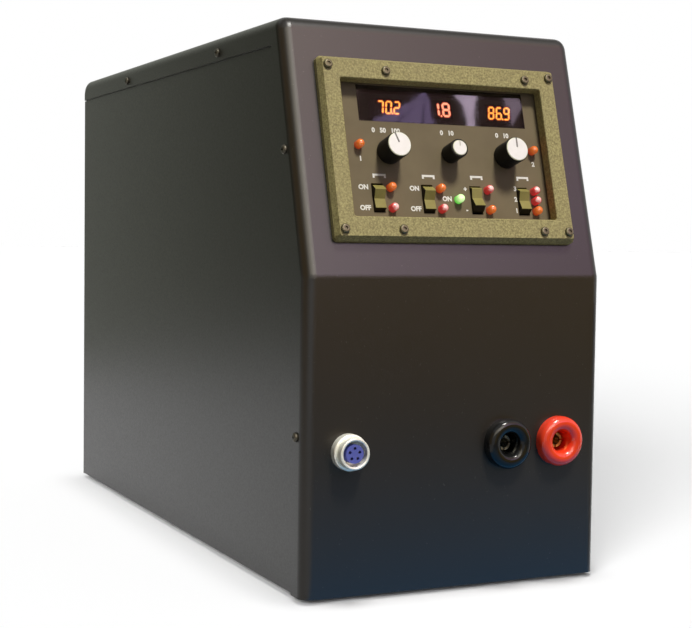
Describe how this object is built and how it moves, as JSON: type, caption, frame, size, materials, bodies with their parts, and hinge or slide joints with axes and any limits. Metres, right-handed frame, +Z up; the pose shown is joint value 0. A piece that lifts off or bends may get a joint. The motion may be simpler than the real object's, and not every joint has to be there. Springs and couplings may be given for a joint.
{
  "type": "percussion welder",
  "caption": "Bench percussion welding power unit: upright black cabinet, sloping control panel with digital display, knobs and rockers, output sockets and a round connector.",
  "frame": {"origin": "on the floor under the feet, in the middle of the whole unit's footprint", "axes": "+Z up, -Y out of the front, +X to the right of someone in front of it"},
  "size_m": [0.2036, 0.4965, 0.339],
  "materials": {
    "case_black": "satin black paint",
    "bezel_olive": "wrinkle-textured olive paint",
    "panel_olive": "matte olive-brown paint",
    "zinc_screw": "yellow zinc",
    "dark_screw": "dull steel",
    "smoked_window": "gloss smoked plastic",
    "digit_glow": "lit red-orange segments",
    "rocker_olive": "satin moulded plastic",
    "black_plastic": "satin moulded plastic",
    "black_socket": "gloss moulded plastic",
    "red_socket": "gloss moulded plastic",
    "cap_white": "satin moulded plastic",
    "lamp_red_lit": "lit lamp",
    "lamp_red_dark": "unlit diffused lens",
    "lamp_green": "lit lamp",
    "brass": "machined",
    "nickel": "nickel plate",
    "steel": "bare steel",
    "insert_blue": "moulded plastic",
    "circuit_board": "solder resist",
    "rubber": "moulded",
    "aluminium": "plain",
    "copper": "bare and enamelled copper"
  },
  "bodies": {
    "cabinet": {"cover": "case_black", "chassis": "case_black", "rear_panel": "case_black", "bezel": "bezel_olive", "control_panel": "panel_olive", "cabinet_screws": "zinc_screw", "bezel_screws": "dark_screw", "display_window": "smoked_window", "digit_segments": "digit_glow", "switch_mode": "black_plastic", "switch_pulse": "black_plastic", "switch_polarity": "black_plastic", "switch_bank": "black_plastic", "digit_modules": "black_plastic", "potentiometer_left": "black_plastic", "potentiometer_middle": "black_plastic", "potentiometer_right": "black_plastic", "inlet_body": "black_plastic", "polarity_relay": "black_plastic", "discharge_switch": "black_plastic", "socket_black": "black_socket", "socket_red": "red_socket", "lamps_lit": "lamp_red_lit", "lamps_dark": "lamp_red_dark", "power_lamp": "lamp_green", "socket_contact_black": "brass", "socket_contact_red": "brass", "connector_contacts": "brass", "connector_shell": "nickel", "connector_nut": "nickel", "socket_nuts": "nickel", "pot_nuts": "nickel", "inlet_blades": "nickel", "board_standoffs": "nickel", "main_board_standoffs": "nickel", "capacitor_clamps": "nickel", "transformer_core": "steel", "connector_insert": "insert_blue", "panel_board": "circuit_board", "main_board": "circuit_board", "rubber_feet": "rubber", "storage_capacitors": "aluminium", "heat_sink": "aluminium", "bus_bars": "copper", "transformer_coil": "copper"},
    "knob_left": {"knob_left": "black_plastic", "knob_cap_left": "cap_white", "shaft_left": "steel"},
    "knob_middle": {"knob_middle": "black_plastic", "knob_cap_middle": "cap_white", "shaft_middle": "steel"},
    "knob_right": {"knob_right": "black_plastic", "knob_cap_right": "cap_white", "shaft_right": "steel"},
    "rocker_mode": {"rocker_mode": "rocker_olive"},
    "rocker_pulse": {"rocker_pulse": "rocker_olive"},
    "rocker_polarity": {"rocker_polarity": "rocker_olive"},
    "rocker_bank": {"rocker_bank": "rocker_olive"},
    "power_rocker": {"power_rocker": "black_plastic"},
    "fuse_drawer": {"fuse_drawer": "black_plastic"}
  },
  "joints": [
    {"name": "knob_left_turn", "type": "hinge", "parent": "cabinet", "child": "knob_left", "pos_m": [-0.038, -0.21542, 0.26068], "axis": [0, -0.9618, 0.2739], "range_deg": [-170, 130]},
    {"name": "knob_middle_turn", "type": "hinge", "parent": "cabinet", "child": "knob_middle", "pos_m": [0.0033, -0.21542, 0.26068], "axis": [0, -0.9618, 0.2739], "range_deg": [-150, 150]},
    {"name": "knob_right_turn", "type": "hinge", "parent": "cabinet", "child": "knob_right", "pos_m": [0.042, -0.21542, 0.26068], "axis": [0, -0.9618, 0.2739], "range_deg": [-150, 150]},
    {"name": "rocker_mode_tilt", "type": "hinge", "parent": "cabinet", "child": "rocker_mode", "pos_m": [-0.0479, -0.21962, 0.23245], "axis": [1, 0, 0], "range_deg": [-20, 0]},
    {"name": "rocker_pulse_tilt", "type": "hinge", "parent": "cabinet", "child": "rocker_pulse", "pos_m": [-0.0149, -0.21962, 0.23245], "axis": [1, 0, 0], "range_deg": [-20, 0]},
    {"name": "rocker_polarity_tilt", "type": "hinge", "parent": "cabinet", "child": "rocker_polarity", "pos_m": [0.0181, -0.21962, 0.23245], "axis": [1, 0, 0], "range_deg": [0, 20]},
    {"name": "rocker_bank_tilt", "type": "hinge", "parent": "cabinet", "child": "rocker_bank", "pos_m": [0.0511, -0.21962, 0.23245], "axis": [1, 0, 0], "range_deg": [-10, 10]},
    {"name": "power_rocker_tilt", "type": "hinge", "parent": "cabinet", "child": "power_rocker", "pos_m": [-0.052, 0.24012, 0.101], "axis": [-1, 0, 0], "range_deg": [0, 20]},
    {"name": "fuse_drawer_slide", "type": "slide", "parent": "cabinet", "child": "fuse_drawer", "axis": [0, 1, 0], "range_m": [0, 0.018]}
  ]
}
